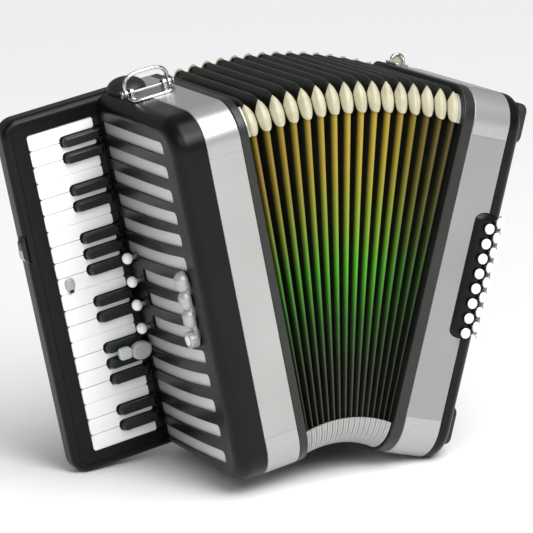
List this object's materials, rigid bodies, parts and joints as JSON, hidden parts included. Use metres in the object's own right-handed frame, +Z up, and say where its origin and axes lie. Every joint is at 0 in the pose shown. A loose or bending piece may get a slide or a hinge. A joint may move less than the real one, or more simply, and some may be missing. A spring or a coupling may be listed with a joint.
{
  "type": "piano accordion",
  "caption": "Free-reed instrument with a piano keyboard on one side, chord buttons on the other and a pleated bellows fanned open between them.",
  "frame": {"origin": "on the surface that the accordion stands on, under the middle of its bounding box", "axes": "+Z up, +X along the bellows from the keyboard side to the bass side, -Y towards the audience, the side that the keys and the front of the bellows face"},
  "size_m": [0.5184, 0.2274, 0.4454],
  "materials": {
    "black_celluloid": "polished black celluloid over a wooden shell",
    "silver_celluloid": "satin silver-grey celluloid over a wooden shell",
    "frame_enamel": "satin charcoal enamel",
    "ivory_plastic": "polished white key plastic",
    "ebony_plastic": "satin black key plastic",
    "white_button": "polished white button plastic",
    "black_button": "polished black button plastic",
    "chromed_steel": "mirror chrome plate",
    "steel_rod": "drawn steel rod",
    "birch_ply": "sanded birch plywood",
    "spruce_blocks": "planed spruce",
    "bellows_cloth": "black cloth and card folds",
    "black_leather": "black strap leather",
    "grille_cloth": "silver-grey woven cloth behind the grille",
    "bellows_trim": "coloured tape on the fold edges",
    "black_rubber": "moulded rubber feet"
  },
  "bodies": {
    "treble": {"treble_case": "silver_celluloid", "treble_bellows_frame": "frame_enamel", "treble_grille_cover": "black_celluloid", "treble_soundboard": "birch_ply", "treble_reed_block": "spruce_blocks", "keyboard_bed": "black_celluloid", "key_axle": "steel_rod", "strap_bracket": "chromed_steel", "bellows": "bellows_cloth"},
    "bass": {"bass_case": "silver_celluloid", "bass_bellows_frame": "frame_enamel", "bass_end_cover": "black_celluloid", "bass_button_board": "black_celluloid", "bass_reed_block": "spruce_blocks", "bass_hand_strap": "black_leather"},
    "white_key_01": {"white_key_01": "ivory_plastic"},
    "white_key_02": {"white_key_02": "ivory_plastic"},
    "white_key_03": {"white_key_03": "ivory_plastic"},
    "white_key_04": {"white_key_04": "ivory_plastic"},
    "white_key_05": {"white_key_05": "ivory_plastic"},
    "white_key_06": {"white_key_06": "ivory_plastic"},
    "white_key_07": {"white_key_07": "ivory_plastic"},
    "white_key_08": {"white_key_08": "ivory_plastic"},
    "white_key_09": {"white_key_09": "ivory_plastic"},
    "white_key_10": {"white_key_10": "ivory_plastic"},
    "white_key_11": {"white_key_11": "ivory_plastic"},
    "white_key_12": {"white_key_12": "ivory_plastic"},
    "white_key_13": {"white_key_13": "ivory_plastic"},
    "white_key_14": {"white_key_14": "ivory_plastic"},
    "white_key_15": {"white_key_15": "ivory_plastic"},
    "white_key_16": {"white_key_16": "ivory_plastic"},
    "white_key_17": {"white_key_17": "ivory_plastic"},
    "white_key_18": {"white_key_18": "ivory_plastic"},
    "white_key_19": {"white_key_19": "ivory_plastic"},
    "white_key_20": {"white_key_20": "ivory_plastic"},
    "black_key_01": {"black_key_01": "ebony_plastic"},
    "black_key_02": {"black_key_02": "ebony_plastic"},
    "black_key_03": {"black_key_03": "ebony_plastic"},
    "black_key_04": {"black_key_04": "ebony_plastic"},
    "black_key_05": {"black_key_05": "ebony_plastic"},
    "black_key_06": {"black_key_06": "ebony_plastic"},
    "black_key_07": {"black_key_07": "ebony_plastic"},
    "black_key_08": {"black_key_08": "ebony_plastic"},
    "black_key_09": {"black_key_09": "ebony_plastic"},
    "black_key_10": {"black_key_10": "ebony_plastic"},
    "black_key_11": {"black_key_11": "ebony_plastic"},
    "black_key_12": {"black_key_12": "ebony_plastic"},
    "black_key_13": {"black_key_13": "ebony_plastic"},
    "black_key_14": {"black_key_14": "ebony_plastic"},
    "register_button_1": {"register_button_1": "white_button"},
    "register_button_2": {"register_button_2": "white_button"},
    "register_button_3": {"register_button_3": "white_button"},
    "register_button_4": {"register_button_4": "white_button"},
    "bass_button_row_1": {"bass_button_row_1": "white_button"},
    "bass_button_row_2": {"bass_button_row_2": "white_button"},
    "bass_button_row_3": {"bass_button_row_3": "white_button"},
    "bass_button_row_4": {"bass_button_row_4": "white_button"},
    "register_slide": {"register_slide": "chromed_steel"},
    "strap_bail": {"strap_bail": "chromed_steel"},
    "air_button": {"air_button": "black_button"}
  },
  "joints": [
    {"name": "bellows_fan", "type": "hinge", "parent": "treble", "child": "bass", "pos_m": [0.03002, -0.00332, 0.03222], "axis": [0, 1, 0], "range_deg": [-25.8, 14], "deforming": ["bellows"]},
    {"name": "white_key_01_press", "type": "hinge", "parent": "treble", "child": "white_key_01", "pos_m": [-0.10862, 0.09618, 0.21354], "axis": [0.1494, 0, -0.9888], "range_deg": [0, 2.4], "stiffness_Nm_per_rad": 0.5, "springref_deg": -9.17},
    {"name": "white_key_02_press", "type": "hinge", "parent": "treble", "child": "white_key_02", "pos_m": [-0.10862, 0.09618, 0.21354], "axis": [0.1494, 0, -0.9888], "range_deg": [0, 2.4], "stiffness_Nm_per_rad": 0.5, "springref_deg": -9.17},
    {"name": "white_key_03_press", "type": "hinge", "parent": "treble", "child": "white_key_03", "pos_m": [-0.10862, 0.09618, 0.21354], "axis": [0.1494, 0, -0.9888], "range_deg": [0, 2.4], "stiffness_Nm_per_rad": 0.5, "springref_deg": -9.17},
    {"name": "white_key_04_press", "type": "hinge", "parent": "treble", "child": "white_key_04", "pos_m": [-0.10862, 0.09618, 0.21354], "axis": [0.1494, 0, -0.9888], "range_deg": [0, 2.4], "stiffness_Nm_per_rad": 0.5, "springref_deg": -9.17},
    {"name": "white_key_05_press", "type": "hinge", "parent": "treble", "child": "white_key_05", "pos_m": [-0.10862, 0.09618, 0.21354], "axis": [0.1494, 0, -0.9888], "range_deg": [0, 2.4], "stiffness_Nm_per_rad": 0.5, "springref_deg": -9.17},
    {"name": "white_key_06_press", "type": "hinge", "parent": "treble", "child": "white_key_06", "pos_m": [-0.10862, 0.09618, 0.21354], "axis": [0.1494, 0, -0.9888], "range_deg": [0, 2.4], "stiffness_Nm_per_rad": 0.5, "springref_deg": -9.17},
    {"name": "white_key_07_press", "type": "hinge", "parent": "treble", "child": "white_key_07", "pos_m": [-0.10862, 0.09618, 0.21354], "axis": [0.1494, 0, -0.9888], "range_deg": [0, 2.4], "stiffness_Nm_per_rad": 0.5, "springref_deg": -9.17},
    {"name": "white_key_08_press", "type": "hinge", "parent": "treble", "child": "white_key_08", "pos_m": [-0.10862, 0.09618, 0.21354], "axis": [0.1494, 0, -0.9888], "range_deg": [0, 2.4], "stiffness_Nm_per_rad": 0.5, "springref_deg": -9.17},
    {"name": "white_key_09_press", "type": "hinge", "parent": "treble", "child": "white_key_09", "pos_m": [-0.10862, 0.09618, 0.21354], "axis": [0.1494, 0, -0.9888], "range_deg": [0, 2.4], "stiffness_Nm_per_rad": 0.5, "springref_deg": -9.17},
    {"name": "white_key_10_press", "type": "hinge", "parent": "treble", "child": "white_key_10", "pos_m": [-0.10862, 0.09618, 0.21354], "axis": [0.1494, 0, -0.9888], "range_deg": [0, 2.4], "stiffness_Nm_per_rad": 0.5, "springref_deg": -9.17},
    {"name": "white_key_11_press", "type": "hinge", "parent": "treble", "child": "white_key_11", "pos_m": [-0.10862, 0.09618, 0.21354], "axis": [0.1494, 0, -0.9888], "range_deg": [0, 2.4], "stiffness_Nm_per_rad": 0.5, "springref_deg": -9.17},
    {"name": "white_key_12_press", "type": "hinge", "parent": "treble", "child": "white_key_12", "pos_m": [-0.10862, 0.09618, 0.21354], "axis": [0.1494, 0, -0.9888], "range_deg": [0, 2.4], "stiffness_Nm_per_rad": 0.5, "springref_deg": -9.17},
    {"name": "white_key_13_press", "type": "hinge", "parent": "treble", "child": "white_key_13", "pos_m": [-0.10862, 0.09618, 0.21354], "axis": [0.1494, 0, -0.9888], "range_deg": [0, 2.4], "stiffness_Nm_per_rad": 0.5, "springref_deg": -9.17},
    {"name": "white_key_14_press", "type": "hinge", "parent": "treble", "child": "white_key_14", "pos_m": [-0.10862, 0.09618, 0.21354], "axis": [0.1494, 0, -0.9888], "range_deg": [0, 2.4], "stiffness_Nm_per_rad": 0.5, "springref_deg": -9.17},
    {"name": "white_key_15_press", "type": "hinge", "parent": "treble", "child": "white_key_15", "pos_m": [-0.10862, 0.09618, 0.21354], "axis": [0.1494, 0, -0.9888], "range_deg": [0, 2.4], "stiffness_Nm_per_rad": 0.5, "springref_deg": -9.17},
    {"name": "white_key_16_press", "type": "hinge", "parent": "treble", "child": "white_key_16", "pos_m": [-0.10862, 0.09618, 0.21354], "axis": [0.1494, 0, -0.9888], "range_deg": [0, 2.4], "stiffness_Nm_per_rad": 0.5, "springref_deg": -9.17},
    {"name": "white_key_17_press", "type": "hinge", "parent": "treble", "child": "white_key_17", "pos_m": [-0.10862, 0.09618, 0.21354], "axis": [0.1494, 0, -0.9888], "range_deg": [0, 2.4], "stiffness_Nm_per_rad": 0.5, "springref_deg": -9.17},
    {"name": "white_key_18_press", "type": "hinge", "parent": "treble", "child": "white_key_18", "pos_m": [-0.10862, 0.09618, 0.21354], "axis": [0.1494, 0, -0.9888], "range_deg": [0, 2.4], "stiffness_Nm_per_rad": 0.5, "springref_deg": -9.17},
    {"name": "white_key_19_press", "type": "hinge", "parent": "treble", "child": "white_key_19", "pos_m": [-0.10862, 0.09618, 0.21354], "axis": [0.1494, 0, -0.9888], "range_deg": [0, 2.4], "stiffness_Nm_per_rad": 0.5, "springref_deg": -9.17},
    {"name": "white_key_20_press", "type": "hinge", "parent": "treble", "child": "white_key_20", "pos_m": [-0.10862, 0.09618, 0.21354], "axis": [0.1494, 0, -0.9888], "range_deg": [0, 2.4], "stiffness_Nm_per_rad": 0.5, "springref_deg": -9.17},
    {"name": "black_key_01_press", "type": "hinge", "parent": "treble", "child": "black_key_01", "pos_m": [-0.10862, 0.09618, 0.21354], "axis": [0.1494, 0, -0.9888], "range_deg": [0, 2.4], "stiffness_Nm_per_rad": 0.5, "springref_deg": -9.17},
    {"name": "black_key_02_press", "type": "hinge", "parent": "treble", "child": "black_key_02", "pos_m": [-0.10862, 0.09618, 0.21354], "axis": [0.1494, 0, -0.9888], "range_deg": [0, 2.4], "stiffness_Nm_per_rad": 0.5, "springref_deg": -9.17},
    {"name": "black_key_03_press", "type": "hinge", "parent": "treble", "child": "black_key_03", "pos_m": [-0.10862, 0.09618, 0.21354], "axis": [0.1494, 0, -0.9888], "range_deg": [0, 2.4], "stiffness_Nm_per_rad": 0.5, "springref_deg": -9.17},
    {"name": "black_key_04_press", "type": "hinge", "parent": "treble", "child": "black_key_04", "pos_m": [-0.10862, 0.09618, 0.21354], "axis": [0.1494, 0, -0.9888], "range_deg": [0, 2.4], "stiffness_Nm_per_rad": 0.5, "springref_deg": -9.17},
    {"name": "black_key_05_press", "type": "hinge", "parent": "treble", "child": "black_key_05", "pos_m": [-0.10862, 0.09618, 0.21354], "axis": [0.1494, 0, -0.9888], "range_deg": [0, 2.4], "stiffness_Nm_per_rad": 0.5, "springref_deg": -9.17},
    {"name": "black_key_06_press", "type": "hinge", "parent": "treble", "child": "black_key_06", "pos_m": [-0.10862, 0.09618, 0.21354], "axis": [0.1494, 0, -0.9888], "range_deg": [0, 2.4], "stiffness_Nm_per_rad": 0.5, "springref_deg": -9.17},
    {"name": "black_key_07_press", "type": "hinge", "parent": "treble", "child": "black_key_07", "pos_m": [-0.10862, 0.09618, 0.21354], "axis": [0.1494, 0, -0.9888], "range_deg": [0, 2.4], "stiffness_Nm_per_rad": 0.5, "springref_deg": -9.17},
    {"name": "black_key_08_press", "type": "hinge", "parent": "treble", "child": "black_key_08", "pos_m": [-0.10862, 0.09618, 0.21354], "axis": [0.1494, 0, -0.9888], "range_deg": [0, 2.4], "stiffness_Nm_per_rad": 0.5, "springref_deg": -9.17},
    {"name": "black_key_09_press", "type": "hinge", "parent": "treble", "child": "black_key_09", "pos_m": [-0.10862, 0.09618, 0.21354], "axis": [0.1494, 0, -0.9888], "range_deg": [0, 2.4], "stiffness_Nm_per_rad": 0.5, "springref_deg": -9.17},
    {"name": "black_key_10_press", "type": "hinge", "parent": "treble", "child": "black_key_10", "pos_m": [-0.10862, 0.09618, 0.21354], "axis": [0.1494, 0, -0.9888], "range_deg": [0, 2.4], "stiffness_Nm_per_rad": 0.5, "springref_deg": -9.17},
    {"name": "black_key_11_press", "type": "hinge", "parent": "treble", "child": "black_key_11", "pos_m": [-0.10862, 0.09618, 0.21354], "axis": [0.1494, 0, -0.9888], "range_deg": [0, 2.4], "stiffness_Nm_per_rad": 0.5, "springref_deg": -9.17},
    {"name": "black_key_12_press", "type": "hinge", "parent": "treble", "child": "black_key_12", "pos_m": [-0.10862, 0.09618, 0.21354], "axis": [0.1494, 0, -0.9888], "range_deg": [0, 2.4], "stiffness_Nm_per_rad": 0.5, "springref_deg": -9.17},
    {"name": "black_key_13_press", "type": "hinge", "parent": "treble", "child": "black_key_13", "pos_m": [-0.10862, 0.09618, 0.21354], "axis": [0.1494, 0, -0.9888], "range_deg": [0, 2.4], "stiffness_Nm_per_rad": 0.5, "springref_deg": -9.17},
    {"name": "black_key_14_press", "type": "hinge", "parent": "treble", "child": "black_key_14", "pos_m": [-0.10862, 0.09618, 0.21354], "axis": [0.1494, 0, -0.9888], "range_deg": [0, 2.4], "stiffness_Nm_per_rad": 0.5, "springref_deg": -9.17},
    {"name": "register_button_1_press", "type": "slide", "parent": "treble", "child": "register_button_1", "axis": [0.9888, 0, 0.1494], "range_m": [0, 0.003], "stiffness_N_per_m": 300, "springref_m": -0.003},
    {"name": "register_button_2_press", "type": "slide", "parent": "treble", "child": "register_button_2", "axis": [0.9888, 0, 0.1494], "range_m": [0, 0.003], "stiffness_N_per_m": 300, "springref_m": -0.003},
    {"name": "register_button_3_press", "type": "slide", "parent": "treble", "child": "register_button_3", "axis": [0.9888, 0, 0.1494], "range_m": [0, 0.003], "stiffness_N_per_m": 300, "springref_m": -0.003},
    {"name": "register_button_4_press", "type": "slide", "parent": "treble", "child": "register_button_4", "axis": [0.9888, 0, 0.1494], "range_m": [0, 0.003], "stiffness_N_per_m": 300, "springref_m": -0.003},
    {"name": "register_slide_shift", "type": "slide", "parent": "treble", "child": "register_slide", "axis": [-0.1494, 0, 0.9888], "range_m": [-0.008, 0]},
    {"name": "strap_bail_swing", "type": "hinge", "parent": "treble", "child": "strap_bail", "pos_m": [-0.12105, 0.02468, 0.42303], "axis": [0.9888, 0, 0.1494], "range_deg": [-80, 80]},
    {"name": "bass_button_row_1_press", "type": "slide", "parent": "bass", "child": "bass_button_row_1", "axis": [-0.0333, 0.9994, 0.0103], "range_m": [0, 0.003], "stiffness_N_per_m": 400, "springref_m": -0.003},
    {"name": "bass_button_row_2_press", "type": "slide", "parent": "bass", "child": "bass_button_row_2", "axis": [-0.4631, 0.8746, 0.1434], "range_m": [0, 0.003], "stiffness_N_per_m": 400, "springref_m": -0.003},
    {"name": "bass_button_row_3_press", "type": "slide", "parent": "bass", "child": "bass_button_row_3", "axis": [-0.7919, 0.5592, 0.2453], "range_m": [0, 0.003], "stiffness_N_per_m": 400, "springref_m": -0.003},
    {"name": "bass_button_row_4_press", "type": "slide", "parent": "bass", "child": "bass_button_row_4", "axis": [-0.9481, 0.1219, 0.2936], "range_m": [0, 0.003], "stiffness_N_per_m": 400, "springref_m": -0.003},
    {"name": "air_button_press", "type": "slide", "parent": "bass", "child": "air_button", "axis": [-0.9552, 0, 0.2959], "range_m": [0, 0.004], "stiffness_N_per_m": 300, "springref_m": -0.004}
  ]
}
